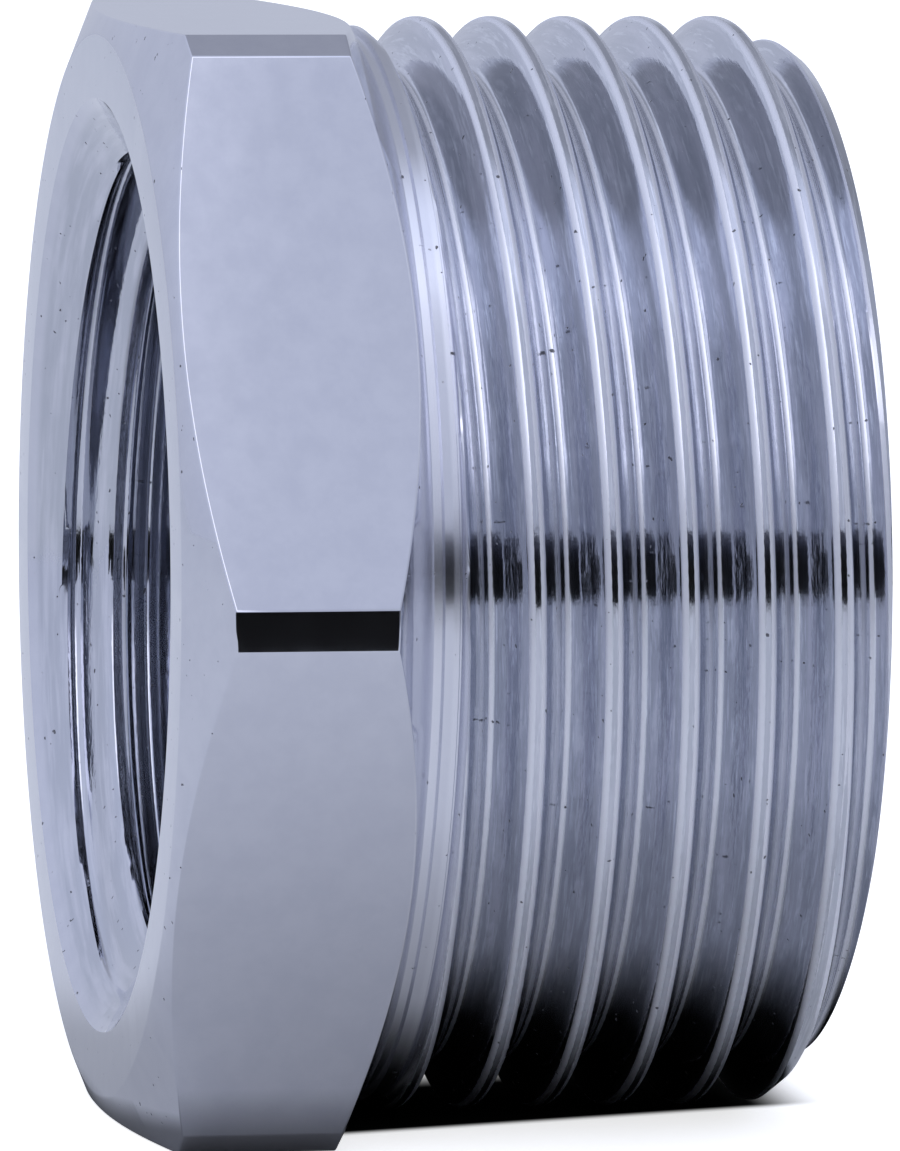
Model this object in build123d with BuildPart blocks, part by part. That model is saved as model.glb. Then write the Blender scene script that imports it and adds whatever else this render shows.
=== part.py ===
"""Reducing hex bushing, G 3/4 male by G 1/2 female, one machined brass piece.

Frame: millimetres. The part lies on one hex flat at Z = 0. X runs along
the bore, from the open hex face at -LENGTH / 2 to the end of the male
thread at +LENGTH / 2, and the bore axis is at Z = AF / 2. The sections
below are drawn on a turned axis, from 0 at the hex face, and laid last.
"""
import math
import os
from build123d import *

# ---- driving dimensions (mm) -------------------------------------------
LENGTH = 16.9            # overall, hex face to thread end
AF = 26.5                # hex across flats
CORNER_R = 15.05         # hex corners are turned down to this radius
FACE_R = 12.83           # flat ring of the hex face ends here
FRONT_SLOPE = 0.42       # axial rise of the front chamfer per mm of radius
BACK_X = 6.47            # back chamfer cone: axial place at BACK_R
BACK_R = 11.855
BACK_SLOPE = 0.546
COLLAR_R = 13.0          # plain land behind the hex
UNDER_R = 12.55          # small undercut between hex and land
UNDER_X1 = 6.12          # it ends here
LAND_X1 = 6.75           # land ends, thread blank begins

PITCH = 1.814            # 14 threads per inch
M_MAJOR_R = 26.441 / 2   # male G 3/4
M_MINOR_R = 24.117 / 2
M_CREST = 0.46           # crest width
M_ROOT = 0.26            # root width
M_PHASE = 6.5055         # axial place of the groove on the +Y side
M_START = 40             # the groove begins this many degrees past +Y
END_R = 12.35            # radius left at the very end
END_CH = 1.15            # length of the lead-in chamfer

F_MINOR_R = 18.631 / 2   # core of the female G 1/2
SINK_R = 11.26           # countersink at the hex face
SINK_X = 1.62            # its depth
EXIT_R = 10.35           # countersink at the far end
EXIT_X = 1.035



def groove_turn(r_root, r_open, w_root, slope, z0):
    """Cutter for one turn of a helical groove, axis Z, from the +X side."""
    w_open = w_root + 2 * slope * abs(r_open - r_root)
    with BuildPart() as g:
        with BuildLine() as path:
            Helix(pitch=PITCH, height=PITCH, radius=r_root,
                  center=(0, 0, z0))
        with BuildSketch(Plane.XZ) as prof:
            with BuildLine():
                Polyline((r_root, z0 - w_root / 2), (r_open, z0 - w_open / 2),
                         (r_open, z0 + w_open / 2), (r_root, z0 + w_root / 2),
                         close=True)
            make_face()
        sweep(sections=prof.sketch, path=path.wires()[0], is_frenet=True)
    return g


m_slope = (PITCH - M_CREST - M_ROOT) / 2 / (M_MAJOR_R - M_MINOR_R)

# ---- blank: hex head and turned thread barrel, axis Z -------------------
with BuildPart() as blank:
    # turned envelope of the head
    with BuildSketch(Plane.XZ) as s_head:
        with BuildLine():
            Polyline((0, 0), (FACE_R, 0),
                     (CORNER_R, (CORNER_R - FACE_R) * FRONT_SLOPE),
                     (CORNER_R, BACK_X - (CORNER_R - BACK_R) * BACK_SLOPE),
                     (UNDER_R, BACK_X - (UNDER_R - BACK_R) * BACK_SLOPE),
                     (0, BACK_X - (UNDER_R - BACK_R) * BACK_SLOPE),
                     close=True)
        make_face()
    revolve(axis=Axis.Z)
    with BuildSketch(Plane.XY) as s_hex:
        # flats top and bottom of the lying part: normals at +-Y here
        RegularPolygon(radius=AF / 2, side_count=6, major_radius=False,
                       rotation=0)
    extrude(amount=BACK_X, mode=Mode.INTERSECT)
    # barrel, from inside the head
    with BuildSketch(Plane.XZ) as s_barrel:
        with BuildLine():
            Polyline((0, 3), (UNDER_R, 3), (UNDER_R, UNDER_X1),
                     (COLLAR_R, UNDER_X1 + 0.04), (COLLAR_R, LAND_X1 - 0.1),
                     (M_MAJOR_R, LAND_X1), (M_MAJOR_R, LENGTH - END_CH),
                     (END_R, LENGTH), (0, LENGTH), close=True)
        make_face()
    revolve(axis=Axis.Z)
    # through bore, at the core of the female thread, with a countersink
    # at each end
    with BuildSketch(Plane.XZ) as s_bore:
        with BuildLine():
            Polyline((0, 0), (SINK_R, 0), (F_MINOR_R, SINK_X),
                     (F_MINOR_R, LENGTH - EXIT_X), (EXIT_R, LENGTH),
                     (0, LENGTH), close=True)
        make_face()
    revolve(axis=Axis.Z, mode=Mode.SUBTRACT)

# ---- male thread, cut one turn at a time --------------------------------
male = groove_turn(M_MINOR_R, M_MAJOR_R + 0.3, M_ROOT, m_slope, M_PHASE)
m_turns = math.ceil((LENGTH + 0.7 - M_PHASE) / PITCH)

with BuildPart() as bushing_local:
    add(blank.part)
    for k in range(m_turns):
        with Locations(Location((0, 0, (k + M_START / 360) * PITCH),
                                (0, 0, M_START))):
            add(male.part, mode=Mode.SUBTRACT)

# ---- lay the axis along X, resting on one flat, origin under its middle --
lie = Plane(origin=(-LENGTH / 2, 0, AF / 2), x_dir=(0, 1, 0),
            z_dir=(1, 0, 0))
with BuildPart() as bushing_body:
    with Locations(lie.location):
        add(bushing_local.part)
bushing_body.part.label = "bushing_body"

os.makedirs("parts", exist_ok=True)
export_step(bushing_body.part, "parts/bushing_body.step")
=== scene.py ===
"""Looks of a chrome-plated hex reducing bushing, built around its CAD frame.

One visual piece stands for the one machined body. It is turned as rings and
helical rows about the bore, in millimetres, with X along the bore from the
hex face, and then laid into the row frame in metres.
"""
import math

import bmesh
import bpy
from mathutils import Matrix, Vector


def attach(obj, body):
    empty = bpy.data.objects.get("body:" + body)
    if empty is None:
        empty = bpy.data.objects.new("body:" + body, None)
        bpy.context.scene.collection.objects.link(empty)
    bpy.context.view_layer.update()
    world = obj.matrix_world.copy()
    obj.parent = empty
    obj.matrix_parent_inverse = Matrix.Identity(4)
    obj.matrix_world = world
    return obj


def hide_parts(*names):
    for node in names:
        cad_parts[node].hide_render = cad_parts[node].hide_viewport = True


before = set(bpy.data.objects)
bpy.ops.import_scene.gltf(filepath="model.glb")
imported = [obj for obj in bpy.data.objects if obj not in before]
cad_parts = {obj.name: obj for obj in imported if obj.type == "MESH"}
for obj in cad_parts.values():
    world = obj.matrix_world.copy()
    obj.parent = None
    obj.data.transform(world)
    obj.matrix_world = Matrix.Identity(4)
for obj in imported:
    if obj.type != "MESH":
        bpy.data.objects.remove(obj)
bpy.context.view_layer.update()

# ---- sizes of the bushing, mm -------------------------------------------
LENGTH = 16.9              # hex face to thread end
FLAT_R = 26.5 / 2          # bore axis to a hex flat
CORNER_R = 15.05           # hex corners are turned down to this radius
FACE_R = 12.83             # flat ring of the hex face ends here
FRONT_SLOPE = 0.42         # front chamfer, axial mm per mm of radius
BACK_X, BACK_R, BACK_SLOPE = 6.47, 11.855, 0.546
UNDER_R, UNDER_X = 12.85, 6.12
COLLAR_R, COLLAR_X = 13.0, 6.16
EDGE_BREAK = 0.045         # machined edges of the head are this soft

PITCH = 1.814
M_MAJOR_R, M_MINOR_R = 26.441 / 2, 24.117 / 2
M_GROOVE_X = 6.5055        # male groove on the +Y side
M_START_DEG, M_FADE_DEG = 40.0, 30.0
M_STOP_DEG, M_BLUNT_DEG = 2062.0, 7.0     # the groove ends in a blunt step
THREAD_X = 6.72            # helical rows take over from rings here
END_R, END_CHAMFER = 12.35, 1.15

F_MAJOR_R, F_MINOR_R = 20.955 / 2, 18.631 / 2
F_GROOVE_X = 1.10          # female groove on the +Y side
SINK_R, SINK_X = 11.26, 1.62
EXIT_R, EXIT_X = 10.35, 1.035

# thread forms: depth, crest width and radius, where flanks meet tops
ROOT_W, ROOT_ROUND = 0.26, 0.205
MALE_FORM = (M_MAJOR_R - M_MINOR_R, 0.32, 0.195)
FEMALE_FORM = (F_MAJOR_R - F_MINOR_R, 0.46, 0.23)

# the turned barrel before its thread is cut, as (x, radius): plain collar, a
# fine groove, two small steps up, the thread's blank, the lead-in chamfer
BARREL = ((COLLAR_X, COLLAR_R), (6.50, COLLAR_R), (6.54, 12.90),
          (6.57, 12.90), (6.61, 13.04), (6.66, 13.10), (6.74, M_MAJOR_R),
          (LENGTH - END_CHAMFER, M_MAJOR_R), (LENGTH, END_R))
# rings from the collar to the thread, at those places and between them
COLLAR_RINGS = (COLLAR_X, 6.19, 6.30, 6.42, 6.47, 6.50, 6.54, 6.57, 6.61,
                6.66, THREAD_X)

COLUMNS = 240              # steps round the bore
SECTORS = 12               # spun once and copied round
SPUN_R = 10.0              # rows are spun at this radius, then set to shape
CORNER_STEP = 1.5          # degrees from a corner to its facet's edge, nominal
FACET_DEG = 30 - math.degrees(math.acos(FLAT_R / CORNER_R))
FACET_LEAN = 3.2           # the turned corners sit a hair out of square
FACET_FAR = 2.06           # so their leading edge falls here
CREASE_DEG = 38            # edges sharper than this are shaded as edges
MM = 0.001


# ---- the thread's form ---------------------------------------------------
def form_places(form):
    """Slope of a flank, and where root, flank, edge and crest change over."""
    depth, crest_w, crest_round = form
    slope = (PITCH - crest_w - ROOT_W) / 2 / depth     # axial per radial
    lean = math.atan(slope)
    root_edge = ROOT_ROUND * math.cos(lean)
    crest_flat = PITCH / 2 - (crest_w / 2 - crest_round
                              * math.tan((math.pi / 2 - lean) / 2))
    crest_edge = crest_flat - crest_round * math.cos(lean)
    return slope, root_edge, crest_edge, crest_flat


def thread_height(u, form):
    """Height above the root, u mm from the groove's centre along the bore."""
    u = abs(u)
    depth, _, crest_round = form
    slope, root_edge, crest_edge, crest_flat = form_places(form)
    if u < root_edge:
        return ROOT_ROUND - math.sqrt(ROOT_ROUND ** 2 - u * u)
    if u < crest_edge:
        base = ROOT_ROUND * (1 - math.sin(math.atan(slope)))
        return base + (u - root_edge) / slope
    if u < crest_flat:
        rise = math.sqrt(crest_round ** 2 - (crest_flat - u) ** 2)
        return depth - crest_round + rise
    return depth


def form_rows(form, root_steps, flank_steps, crest_steps):
    """Rows across one pitch that fall on the form's own changes."""
    _, root_edge, crest_edge, crest_flat = form_places(form)
    half = [root_edge * i / root_steps for i in range(root_steps)]
    half += [root_edge + (crest_edge - root_edge) * i / flank_steps
             for i in range(flank_steps)]
    half += [crest_edge + (crest_flat - crest_edge)
             * math.sin(math.pi / 2 * i / crest_steps)
             for i in range(crest_steps + 1)]
    return sorted({-u for u in half} | set(half) | {PITCH / 2})


def smoothstep(t):
    t = min(max(t, 0.0), 1.0)
    return t * t * (3 - 2 * t)


def near_groove(x, turn, first_x):
    """(offset from the nearest groove's centre, turns along the helix)."""
    along = (x - first_x) / PITCH - turn
    k = round(along)
    return (along - k) * PITCH, k + turn


def barrel_r(x):
    """Radius of the turned barrel before its thread is cut."""
    if x <= COLLAR_X:
        return COLLAR_R
    for (xa, ra), (xb, rb) in zip(BARREL, BARREL[1:]):
        if x <= xb:
            return ra + (rb - ra) * (x - xa) / (xb - xa)
    return END_R


def male_r(x, theta):
    """Radius of the outside: the groove fades in, and ends bluntly."""
    u, along = near_groove(x, theta / (2 * math.pi), M_GROOVE_X)
    depth = MALE_FORM[0]
    cut = smoothstep((along * 360 - M_START_DEG) / M_FADE_DEG)
    cut *= 1 - smoothstep((along * 360 - M_STOP_DEG) / M_BLUNT_DEG)
    return min(barrel_r(x),
               M_MINOR_R + thread_height(u, MALE_FORM) + (1 - cut) * depth)


def female_r(x, theta):
    """Radius of the bore: its thread, opened by a countersink at each end."""
    u, _ = near_groove(x, theta / (2 * math.pi), F_GROOVE_X)
    sink = SINK_R - x * (SINK_R - F_MINOR_R) / SINK_X
    out = EXIT_R - (LENGTH - x) * (EXIT_R - F_MINOR_R) / EXIT_X
    return max(F_MAJOR_R - thread_height(u, FEMALE_FORM), sink, out)


def hex_r(theta):
    """Radius of the head: six flats, and a turned facet on each corner."""
    deg = math.degrees(theta)
    off = (deg % 60) - 30
    t = deg - round(deg / 60) * 60
    facet = (CORNER_R * math.cos(math.radians(FACET_DEG + FACET_LEAN))
             / math.cos(math.radians(t + FACET_LEAN)))
    return min(FLAT_R / math.cos(math.radians(off)), facet)


# ---- lathe and screw -----------------------------------------------------
def spread(theta):
    """Moves a column's angle so that columns fall on the facets' edges."""
    deg = math.degrees(theta)
    corner = round(deg / 60) * 60
    t = deg - corner
    a = abs(t)
    edge = FACET_DEG if t > 0 else FACET_FAR
    if a <= CORNER_STEP:
        a = a * edge / CORNER_STEP
    else:
        a = edge + (a - CORNER_STEP) * (30 - edge) / (30 - CORNER_STEP)
    return math.radians(corner + math.copysign(a, t))


def turned(bm, stations, climb=0.0):
    """Spins a row along the bore, at these stations; climb is per turn."""
    verts = [bm.verts.new((x, SPUN_R, 0)) for x in stations]
    edges = [bm.edges.new(pair) for pair in zip(verts, verts[1:])]
    steps = COLUMNS // SECTORS
    bmesh.ops.spin(bm, geom=verts + edges, cent=(0, 0, 0), axis=(1, 0, 0),
                   dvec=(climb / COLUMNS, 0, 0), angle=2 * math.pi / SECTORS,
                   steps=steps, use_merge=False)
    sector = bm.verts[:] + bm.edges[:] + bm.faces[:]
    for k in range(1, SECTORS):
        copy = bmesh.ops.duplicate(bm, geom=sector)["geom"]
        moved = [g for g in copy if isinstance(g, bmesh.types.BMVert)]
        turn = Matrix.Rotation(2 * math.pi * k / SECTORS, 3, "X")
        bmesh.ops.rotate(bm, verts=moved, cent=(0, 0, 0), matrix=turn)
        bmesh.ops.translate(bm, verts=moved, vec=(climb * k / SECTORS, 0, 0))
    bmesh.ops.remove_doubles(bm, verts=bm.verts[:], dist=2e-3)


def angles_of(v):
    """(even angle of the vertex's column, the angle it is moved to)."""
    step = 2 * math.pi / COLUMNS
    column = round(math.atan2(v.co.z, v.co.y) / step) % COLUMNS
    return column * step, spread(column * step)


def place(v, x, r, theta):
    v.co = (x, r * math.cos(theta), r * math.sin(theta))


def clean(bm, dist):
    """Merges doubles and drops what has no length left."""
    bmesh.ops.remove_doubles(bm, verts=bm.verts[:], dist=dist)
    bmesh.ops.dissolve_degenerate(bm, dist=1e-5, edges=bm.edges[:])


def helical(rows, first_x, lo, hi, radius_at):
    """Helical rows between two planes, each vertex set to the thread."""
    bm = bmesh.new()
    turns = range(math.floor((lo - first_x) / PITCH) - 2,
                  math.ceil((hi - first_x) / PITCH) + 1)
    turned(bm, sorted(first_x + k * PITCH + u for k in turns for u in rows),
           PITCH)
    for v in bm.verts:
        even, theta = angles_of(v)
        x = v.co.x + PITCH * (theta - even) / (2 * math.pi)
        x = min(max(x, lo), hi)
        place(v, x, radius_at(x, theta), theta)
    clean(bm, 1e-4)
    return bm


def head_rings():
    """Countersink lip, face, hex and collar as rings of one lathe row."""
    bm = bmesh.new()
    back_end = BACK_X - (UNDER_R - BACK_R) * BACK_SLOPE
    rings = [(0, SINK_R), (0, FACE_R), ("front", 0), ("back", 0),
             (back_end, UNDER_R), (UNDER_X, UNDER_R)]
    # each ring is spun at its own whole number, and told apart by it
    turned(bm, range(len(rings) + len(COLLAR_RINGS)))
    for v in bm.verts:
        i, theta = round(v.co.x), angles_of(v)[1]
        if i >= len(rings):
            x = COLLAR_RINGS[i - len(rings)]
            place(v, x, male_r(x, theta), theta)
            continue
        x, r = rings[i]
        if x == "front":
            r = hex_r(theta)
            x = (r - FACE_R) * FRONT_SLOPE
        elif x == "back":
            r = hex_r(theta)
            x = BACK_X - (r - BACK_R) * BACK_SLOPE
        place(v, x, r, theta)
    # soften the machined edges of the head
    bm.normal_update()
    sharp = [e for e in bm.edges if len(e.link_faces) == 2
             and e.calc_face_angle(0) > math.radians(15)
             and max(v.co.x for v in e.verts) < back_end - 0.01]
    bmesh.ops.bevel(bm, geom=sharp, offset=EDGE_BREAK, offset_type="OFFSET",
                    segments=2, profile=0.5, affect="EDGES", material=-1,
                    clamp_overlap=True)
    return bm


def end_ring():
    """The flat end face, between the male thread and the exit countersink."""
    bm = bmesh.new()
    turned(bm, (0, 1))
    for v in bm.verts:
        theta = angles_of(v)[1]
        r = female_r(LENGTH, theta) if round(v.co.x) else male_r(LENGTH, theta)
        place(v, LENGTH, r, theta)
    return bm


def join(target, source):
    """Adds one bmesh to another."""
    mesh = bpy.data.meshes.new("part_of_body")
    source.to_mesh(mesh)
    source.free()
    target.from_mesh(mesh)
    bpy.data.meshes.remove(mesh)


body = bmesh.new()
join(body, head_rings())
join(body, helical(form_rows(MALE_FORM, 3, 4, 4), M_GROOVE_X,
                   THREAD_X, LENGTH, male_r))
join(body, end_ring())
join(body, helical(form_rows(FEMALE_FORM, 2, 3, 3), F_GROOVE_X,
                   0.0, LENGTH, female_r))
clean(body, 2e-4)
bmesh.ops.recalc_face_normals(body, faces=body.faces[:])
for f in body.faces:
    f.smooth = True
for e in body.edges:
    if (len(e.link_faces) == 2
            and e.calc_face_angle(0) > math.radians(CREASE_DEG)):
        e.smooth = False

lie = Matrix.Translation((-LENGTH / 2 * MM, 0, FLAT_R * MM))
bmesh.ops.transform(body, matrix=lie @ Matrix.Scale(MM, 4),
                    verts=body.verts[:])
mesh = bpy.data.meshes.new("bushing_turned")
body.to_mesh(mesh)
body.free()
bushing = bpy.data.objects.new("bushing_turned", mesh)
bpy.context.scene.collection.objects.link(bushing)
shade = bushing.modifiers.new("even_normals", "WEIGHTED_NORMAL")
shade.mode = "FACE_AREA"
shade.keep_sharp = True


# ---- node graphs ---------------------------------------------------------
class Graph:
    """Nodes of a material or a world, wired by small calls.

    A number or a colour sets the socket that it is put into, and another
    node's output is linked to it.
    """

    def __init__(self, tree):
        self.tree = tree

    def node(self, kind):
        return self.tree.nodes.new("ShaderNode" + kind)

    def put(self, socket, value):
        if isinstance(value, bpy.types.NodeSocket):
            self.tree.links.new(value, socket)
        else:
            socket.default_value = value

    def math(self, op, *values):
        n = self.node("Math")
        n.operation = op
        for socket, value in zip(n.inputs, values):
            self.put(socket, value)
        return n.outputs[0]

    def chain(self, op, values):
        result = values[0]
        for value in values[1:]:
            result = self.math(op, result, value)
        return result

    def times(self, *values):
        return self.chain("MULTIPLY", values)

    def plus(self, *values):
        return self.chain("ADD", values)

    def most(self, *values):
        return self.chain("MAXIMUM", values)

    def minus(self, a, b):
        return self.math("SUBTRACT", a, b)

    def split(self, vector):
        """The three sockets of a vector."""
        n = self.node("SeparateXYZ")
        self.put(n.inputs[0], vector)
        return tuple(n.outputs)

    def dot(self, vector, axis):
        n = self.node("VectorMath")
        n.operation = "DOT_PRODUCT"
        self.put(n.inputs[0], vector)
        n.inputs[1].default_value = axis
        return n.outputs["Value"]

    def ramp(self, value, lo, hi, to_lo=0.0, to_hi=1.0, kind="SMOOTHSTEP"):
        """Step of a value between lo and hi, smooth unless said."""
        n = self.node("MapRange")
        n.interpolation_type = kind
        self.put(n.inputs["Value"], value)
        n.inputs["From Min"].default_value = lo
        n.inputs["From Max"].default_value = hi
        n.inputs["To Min"].default_value = to_lo
        n.inputs["To Max"].default_value = to_hi
        return n.outputs["Result"]

    def noise(self, xyz, detail, rough):
        where = self.node("CombineXYZ")
        for socket, value in zip(where.inputs, xyz):
            self.put(socket, value)
        n = self.node("TexNoise")
        self.put(n.inputs["Vector"], where.outputs[0])
        n.inputs["Scale"].default_value = 1.0
        n.inputs["Detail"].default_value = detail
        n.inputs["Roughness"].default_value = rough
        return n.outputs["Fac"]

    def mix_color(self, factor, a, b):
        n = self.node("Mix")
        n.data_type = "RGBA"
        for name, value in (("Factor", factor), ("A", a), ("B", b)):
            socket = next(i for i in n.inputs if i.name == name
                          and (name == "Factor" and i.type == "VALUE"
                               or name != "Factor" and i.type == "RGBA"))
            self.put(socket, value)
        return next(o for o in n.outputs if o.type == "RGBA")

    def mix_shader(self, factor, a, b):
        n = self.node("MixShader")
        for socket, value in zip(n.inputs, (factor, a, b)):
            self.put(socket, value)
        return n.outputs[0]


# ---- plated finish -------------------------------------------------------
PLATE_DEEP, PLATE = (0.620, 0.632, 0.705, 1), (0.655, 0.666, 0.735, 1)
FLANK_SHADE = (0.46, 0.485, 0.545, 1)      # where the tool chattered
BURNISHED = (0.84, 0.86, 0.93, 1)
PAINTED_SHEEN = (0.80, 0.81, 0.87, 1)               # painted highlight on crest edges, roots and neck
NICKED = (0.10, 0.10, 0.11, 1)
# height of each mark in the plated skin, micrometres
FINE_UM, BROAD_UM, CHATTER_UM = 1.2, 4.0, 3.0
WAVES_UM, GRAIN_UM, NICK_UM = 9.0, 0.12, 14.0
MICRON = 1e-6
# roughness of the bright plate, and what each kind of place adds to it
BRIGHT_ROUGH, MARK_ROUGH, MOTTLE_ROUGH = 0.042, 0.045, 0.04
EDGE_ROUGH, ROOT_ROUGH, NECK_ROUGH, NICK_ROUGH = 0.34, 0.30, 0.17, 0.3


def chrome():
    """Bright plating over turned brass, worked out round the bore."""
    mat = bpy.data.materials.new("bright_plating")
    mat.use_nodes = True
    mat.node_tree.nodes.clear()
    g = Graph(mat.node_tree)
    out = g.node("OutputMaterial")
    metal = g.node("BsdfPrincipled")
    coord = g.node("TexCoord")
    along, across_, up_ = g.split(coord.outputs["Object"])
    facing_x = g.split(coord.outputs["Normal"])[0]

    # millimetres: along the bore from the hex face, out from the bore axis,
    # and round it from the top, with the seam underneath
    x = g.plus(g.math("DIVIDE", along, MM), LENGTH / 2)
    y = g.math("DIVIDE", across_, MM)
    z = g.minus(g.math("DIVIDE", up_, MM), FLAT_R)
    r = g.math("SQRT", g.plus(g.times(y, y), g.times(z, z)))
    round_ = g.math("ARCTAN2", y, z)
    screwed = g.plus(x, g.times(round_, PITCH / (2 * math.pi)))

    # where is what
    thread_side = g.ramp(x, THREAD_X - 0.05, THREAD_X + 0.05)
    outside = g.ramp(r, 11.4, 11.6)
    male = g.times(thread_side, outside)
    inside = g.times(g.ramp(r, 11.1, 10.9), g.ramp(x, 0.05, 0.15))
    threads = g.most(male, inside)
    head = g.ramp(x, BACK_X - 0.05, BACK_X - 0.15)
    flats = g.times(head, g.ramp(r, 12.9, 13.1),
                    g.ramp(g.math("ABSOLUTE", facing_x), 0.2, 0.08))
    # radius as if the end chamfer had not been turned
    past = g.most(g.minus(x, LENGTH - END_CHAMFER), 0.0)
    blank = g.plus(r, g.times(past, (M_MAJOR_R - END_R) / END_CHAMFER))
    crest_edge = g.times(male, g.ramp(blank, 13.10, 13.145),
                         g.ramp(blank, M_MAJOR_R - 0.001, M_MAJOR_R - 0.006))
    neck = g.times(g.ramp(x, BACK_X - 1.3, BACK_X - 0.8),
                   g.minus(1.0, thread_side), outside, g.minus(1.0, flats))
    root_line = g.times(male, g.ramp(r, M_MINOR_R + 0.012,
                                     M_MINOR_R + 0.003))

    def lathe_noise(per_mm, out_per_mm, per_radian, detail, rough):
        """Noise drawn out round the bore, which follows the screw."""
        return g.noise((g.times(screwed, per_mm), g.times(r, out_per_mm),
                        g.times(round_, per_radian)), detail, rough)

    def even_noise(per_mm, detail, rough):
        return g.noise([g.times(v, per_mm) for v in (x, y, z)], detail, rough)

    # turning marks, and scuffs along the flanks where the tool burnished them
    fine = lathe_noise(16.0, 10.0, 4.0, 2.0, 0.6)
    broad = lathe_noise(4.5, 3.0, 3.5, 3.0, 0.55)
    chatter = lathe_noise(7.0, 7.0, 26.0, 3.0, 0.6)
    scuff = lathe_noise(9.0, 6.0, 7.0, 3.0, 0.7)
    # slow waves in the plated skin, its faint mottling and its grain
    waves = even_noise(0.42, 2.0, 0.5)
    mottle = even_noise(1.3, 5.0, 0.6)
    grain = even_noise(9.0, 3.0, 0.6)
    # small nicks and specks of dust, none on the flats
    pits = even_noise(5.5, 1.0, 0.4)
    nick = g.times(g.ramp(pits, 0.765, 0.785), g.minus(1.0, flats))

    # the skin's height: full marks on the threads, a tenth elsewhere, and
    # next to none on the flats
    marks = g.plus(g.times(fine, FINE_UM), g.times(broad, BROAD_UM),
                   g.times(chatter, CHATTER_UM))
    marks = g.times(marks, g.plus(0.10, g.times(threads, 0.9)),
                    g.minus(1.0, g.times(flats, 0.95)))
    height = g.plus(marks, g.times(waves, WAVES_UM), g.times(grain, GRAIN_UM))
    height = g.minus(height, g.times(nick, NICK_UM))
    bump = g.node("Bump")
    bump.inputs["Strength"].default_value = 1.0
    bump.inputs["Distance"].default_value = MICRON
    g.put(bump.inputs["Height"], height)

    # softer shine on marks, on the crests' edges, along the roots and neck
    rough = g.plus(BRIGHT_ROUGH,
                   g.times(threads, g.ramp(fine, 0.35, 0.75, 0.0,
                                           MARK_ROUGH)),
                   g.times(mottle, MOTTLE_ROUGH),
                   g.times(crest_edge, EDGE_ROUGH),
                   g.times(root_line, ROOT_ROUGH),
                   g.times(neck, NECK_ROUGH),
                   g.times(nick, NICK_ROUGH))

    tone = g.mix_color(g.ramp(mottle, 0.3, 0.7), PLATE_DEEP, PLATE)
    tone = g.mix_color(g.times(threads, g.ramp(broad, 0.30, 0.6, 0.0, 0.65)),
                       tone, FLANK_SHADE)
    tone = g.mix_color(g.times(male, g.ramp(scuff, 0.50, 0.66, 0.0, 0.55)),
                       tone, BURNISHED)
    # painted highlight: a lighter plate on the crests' edges, the roots and
    # neck
    tone = g.mix_color(g.most(crest_edge, root_line, g.times(neck, 0.8)),
                       tone, PAINTED_SHEEN)
    tone = g.mix_color(g.times(nick, 0.85), tone, NICKED)
    g.put(metal.inputs["Base Color"], tone)
    metal.inputs["Metallic"].default_value = 1.0
    g.put(metal.inputs["Roughness"], rough)
    g.put(metal.inputs["Normal"], bump.outputs["Normal"])
    g.put(out.inputs["Surface"], metal.outputs["BSDF"])
    return mat


bushing.data.materials.append(chrome())
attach(bushing, "root")
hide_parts("bushing_body")

# ---- stage ---------------------------------------------------------------
scene = bpy.context.scene
scene.view_settings.view_transform = "Standard"
FLOOR_Z = -0.02 * MM       # a hair below the flat, so neither flickers
FLOOR_HALF = 0.6
# the second floor colour is the painted shadow under the part
FLOOR_PALE, FLOOR_PAINTED_SHADOW = (0.9, 0.9, 0.87), (0.012, 0.012, 0.010)
CARD_BLACK = (0.018, 0.017, 0.015)
CARD_GREY, CARD_PALE_GREY = (0.03, 0.03, 0.035), (0.10, 0.10, 0.12)
CARD_TOP = 0.040           # the sharp strip ends at this height, m


def panel(name, corners, color, camera=True):
    """One flat matt sheet of the stage."""
    bm = bmesh.new()
    bm.faces.new([bm.verts.new(c) for c in corners])
    m = bpy.data.meshes.new(name)
    bm.to_mesh(m)
    bm.free()
    o = bpy.data.objects.new(name, m)
    scene.collection.objects.link(o)
    mat = bpy.data.materials.new(name)
    mat.use_nodes = True
    matt = mat.node_tree.nodes["Principled BSDF"]
    matt.inputs["Base Color"].default_value = (*color, 1)
    matt.inputs["Roughness"].default_value = 1.0
    matt.inputs["Specular IOR Level"].default_value = 0.0
    m.materials.append(mat)
    o.visible_camera = camera
    return o


def card(name, start, end, lo, hi, color):
    """A card that only the metal sees, upright from start to end (x, y)."""
    panel(name, [(*start, lo), (*end, lo), (*end, hi), (*start, hi)], color,
          False)


floor = panel("floor", [(i * FLOOR_HALF, j * FLOOR_HALF, FLOOR_Z)
                        for i, j in ((-1, -1), (1, -1), (1, 1), (-1, 1))],
              FLOOR_PALE)
# one sharp dark strip at the height of the part in front of it, softer greys
# above, and one more on each side
card("card_strip", (-0.253, -0.250), (0.19, -0.250), 0.0, CARD_TOP,
     CARD_BLACK)
card("card_soft_1", (-0.253, -0.251), (0.19, -0.251), CARD_TOP, 0.052,
     CARD_GREY)
card("card_soft_2", (-0.253, -0.252), (0.19, -0.252), 0.052, 0.066,
     CARD_PALE_GREY)
card("card_left", (-0.253, -0.25), (-0.253, -0.08), 0.0, CARD_TOP, CARD_BLACK)
card("card_right", (0.35, -0.286), (0.35, -0.087), 0.0, 0.052, CARD_BLACK)

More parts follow.
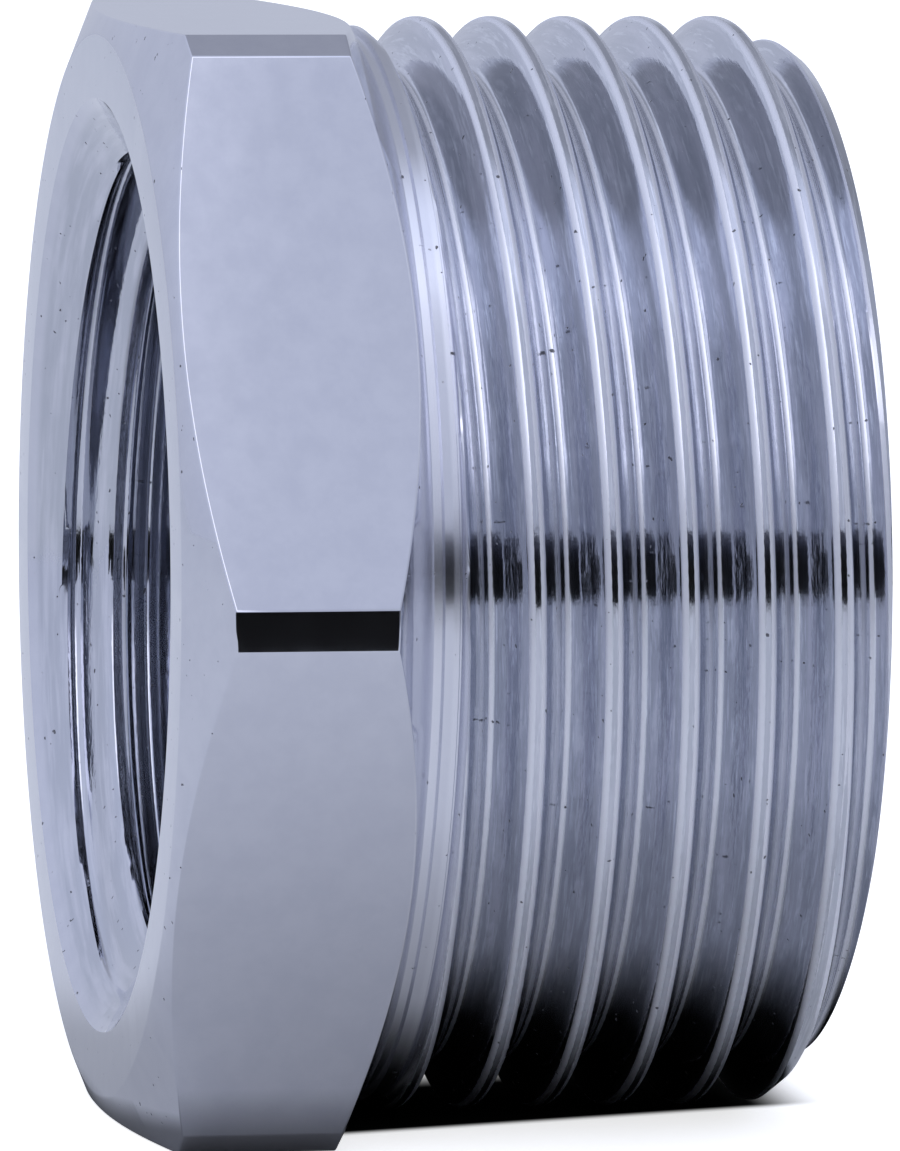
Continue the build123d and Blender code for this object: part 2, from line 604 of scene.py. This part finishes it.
# one soft box overhead in front, a little to the left, fading at its edges
BOX_FAR, BOX_WIDE, BOX_HIGH = 0.6, 0.19, 0.36      # distance, half sizes, m
BOX_LIGHT, BOX_STRENGTH = (0.86, 0.88, 1.0, 1), 1.9
aim = Vector((-0.166, -0.621, 0.766)).normalized()
across = aim.cross(Vector((0, 0, 1))).normalized()
rise = across.cross(aim)
box = panel("soft_box", [aim * BOX_FAR + across * (i * BOX_WIDE)
                         + rise * (j * BOX_HIGH)
                         for i, j in ((-1, -1), (1, -1), (1, 1), (-1, 1))],
            CARD_BLACK, False)
lamp = Graph(box.data.materials[0].node_tree)
spot = lamp.node("TexCoord").outputs["Object"]
fade = lamp.times(*(lamp.ramp(lamp.math("ABSOLUTE", lamp.dot(spot, axis)),
                              half, half * 0.55)
                    for axis, half in ((across, BOX_WIDE),
                                       (rise, BOX_HIGH))))
glow = lamp.node("Emission")
glow.inputs["Color"].default_value = BOX_LIGHT
glow.inputs["Strength"].default_value = BOX_STRENGTH
lamp.put(lamp.tree.nodes["Material Output"].inputs["Surface"],
         lamp.mix_shader(fade, lamp.node("BsdfTransparent").outputs[0],
                         glow.outputs[0]))

# floor: white to the camera, its own pale shade to metal, and it keeps the
# part's shadow; a painted shadow is mixed into its colour as well, nearly
# black where the barrel all but touches it
ft = Graph(floor.data.materials[0].node_tree)
surface = ft.tree.nodes["Principled BSDF"]
path = ft.node("LightPath").outputs
to_camera, to_metal = path["Is Camera Ray"], path["Is Glossy Ray"]
fx, fy, _ = ft.split(ft.node("TexCoord").outputs["Object"])


def between(value, *fades):
    """Product of smooth steps; each fade is (outside, inside) in mm."""
    return ft.times(*(ft.ramp(value, lo * MM, hi * MM) for lo, hi in fades))


# painted shadow as the metal sees it: a wide soft shade under the barrel, a
# fainter one along the foot of the hex, and a faint apron round both
barrel = ft.times(between(fx, (-3.4, -2.6), (9.8, 9.0)),
                  between(fy, (-10.5, -4.0), (20.0, 14.0)))
foot = ft.times(between(fx, (-9.6, -8.2), (-2.0, -3.0)),
                between(fy, (-10.5, -7.6), (20.0, 9.0)))
apron = ft.times(between(fx, (-22.0, -10.0), (16.0, 10.0)),
                 between(fy, (-22.0, -11.0), (24.0, 10.0)))
soft = ft.times(ft.most(barrel, ft.times(foot, 0.75), ft.times(apron, 0.26)),
                to_metal)
# painted shadow as the camera sees it: the close dark strip only, along the
# barrel's slant
slant = ft.minus(fy, ft.times(fx, 0.283))
painted_shadow_camera = ft.times(between(fx, (-3.4, -3.0), (9.8, 7.6)),
                 between(slant, (-4.0, -3.2), (6.0, 2.5)), to_camera)
# painted shadow: it darkens the floor's colour and dims its glow
painted_shadow = ft.most(soft, painted_shadow_camera)
ft.put(surface.inputs["Base Color"],
       ft.mix_color(painted_shadow, (*FLOOR_PALE, 1), (*FLOOR_PAINTED_SHADOW, 1)))
surface.inputs["Emission Color"].default_value = (1, 1, 1, 1)
lift = ft.most(ft.times(to_camera, 0.75),
               ft.times(ft.most(to_metal, path["Is Transmission Ray"]), 0.04))
ft.put(surface.inputs["Emission Strength"],
       ft.times(lift, ft.minus(1.0, painted_shadow)))
# clear from below, so that the underside of the part can be seen
sides = ft.node("NewGeometry")
ft.put(ft.tree.nodes["Material Output"].inputs["Surface"],
       ft.mix_shader(sides.outputs["Backfacing"], surface.outputs["BSDF"],
                     ft.node("BsdfTransparent").outputs[0]))

# soft cool room: brightest overhead on the left, dimmer behind on the right,
# with a small glow overhead on the right; plain white to the camera
world = bpy.data.worlds.new("studio")
scene.world = world
world.use_nodes = True
sky = Graph(world.node_tree)
room = sky.tree.nodes["Background"]
toward = sky.node("TexCoord").outputs["Generated"]
level = sky.ramp(sky.dot(toward, (-0.45, 0.0, 0.89)), -1.0, 1.0, 0.34, 0.94,
                 "LINEAR")
dimmer = sky.ramp(sky.dot(toward, (0.332, 0.624, 0.707)), 0.79, 0.90,
                  1.0, 0.54)
spark = sky.ramp(sky.dot(toward, (0.359, -0.191, 0.914)), 0.925, 0.985,
                 0.0, 0.40)
room.inputs["Color"].default_value = (0.74, 0.80, 1.0, 1)
sky.put(room.inputs["Strength"], sky.plus(sky.times(level, dimmer), spark))
backdrop = sky.node("Background")
backdrop.inputs["Color"].default_value = (1, 1, 1, 1)
seen = sky.node("LightPath").outputs
# metal has a little of the white as well, and what is seen through has all
white = sky.most(seen["Is Camera Ray"], seen["Is Transmission Ray"],
                 sky.times(seen["Is Glossy Ray"], 0.10))
sky.put(sky.tree.nodes["World Output"].inputs["Surface"],
        sky.mix_shader(white, room.outputs[0], backdrop.outputs[0]))

# ---- camera --------------------------------------------------------------
CAMERA_AT = (-0.052200, -0.281565, 0.043962)
CAMERA_AXES = ((0.983253, -0.181958, 0.010198),      # right
               (0.009641, 0.107814, 0.994124),       # up
               (-0.181989, -0.977378, 0.107762))     # back
FOCAL_PX, FRAME_PX = 11880, 1151       # focal length for a frame this high
SENSOR = 36.0
cam_data = bpy.data.cameras.new("camera")
cam = bpy.data.objects.new("camera", cam_data)
scene.collection.objects.link(cam)
cam.matrix_world = (Matrix.Translation(CAMERA_AT)
                    @ Matrix(CAMERA_AXES).transposed().to_4x4())
cam_data.sensor_width = SENSOR
cam_data.lens = FOCAL_PX * SENSOR / FRAME_PX
cam_data.clip_start, cam_data.clip_end = 0.01, 10
scene.camera = cam
